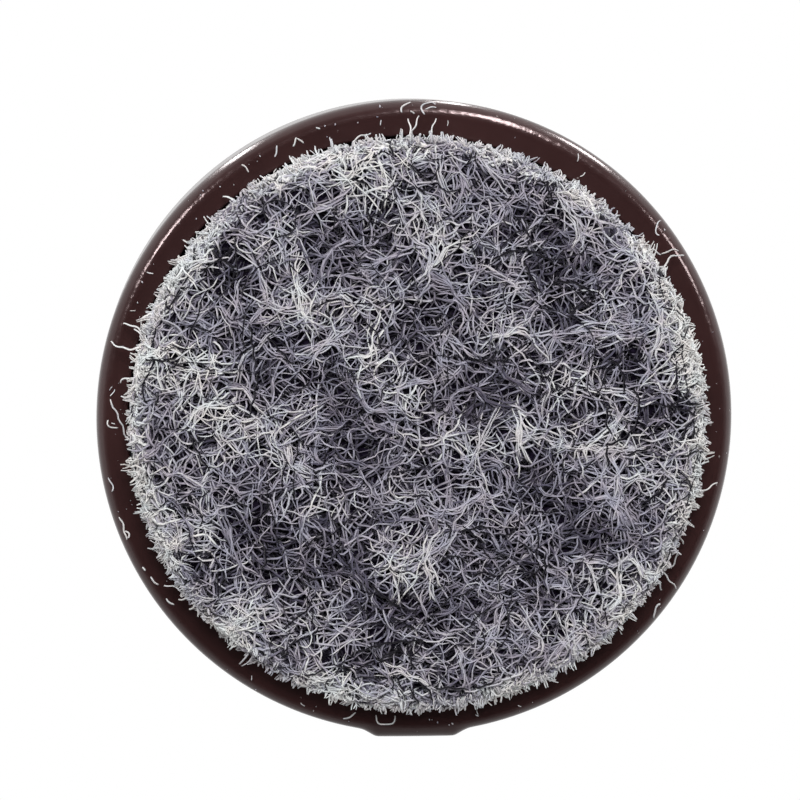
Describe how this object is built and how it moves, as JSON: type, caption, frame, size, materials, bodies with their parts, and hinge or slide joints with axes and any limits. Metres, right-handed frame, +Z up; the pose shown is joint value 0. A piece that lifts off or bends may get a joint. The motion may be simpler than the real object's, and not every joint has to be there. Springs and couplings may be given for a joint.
{
  "type": "nail-on furniture glide",
  "caption": "Round brown plastic glide with a grey felt running face set in its cup and a steel nail through the middle, driven into the end of a furniture leg.",
  "frame": {"origin": "centre of the felt's running face, on the floor plane", "axes": "+Z up along the nail, away from the floor and into the furniture leg; +Y towards the gate stub"},
  "size_m": [0.022, 0.0221, 0.0227],
  "materials": {
    "brown_plastic": "gloss",
    "plated_steel": "satin",
    "grey_felt": "matte",
    "dried_glue": "satin"
  },
  "bodies": {
    "root": {"cup": "brown_plastic", "nail": "plated_steel", "felt_pad": "grey_felt", "glue_film": "dried_glue"}
  },
  "joints": []
}
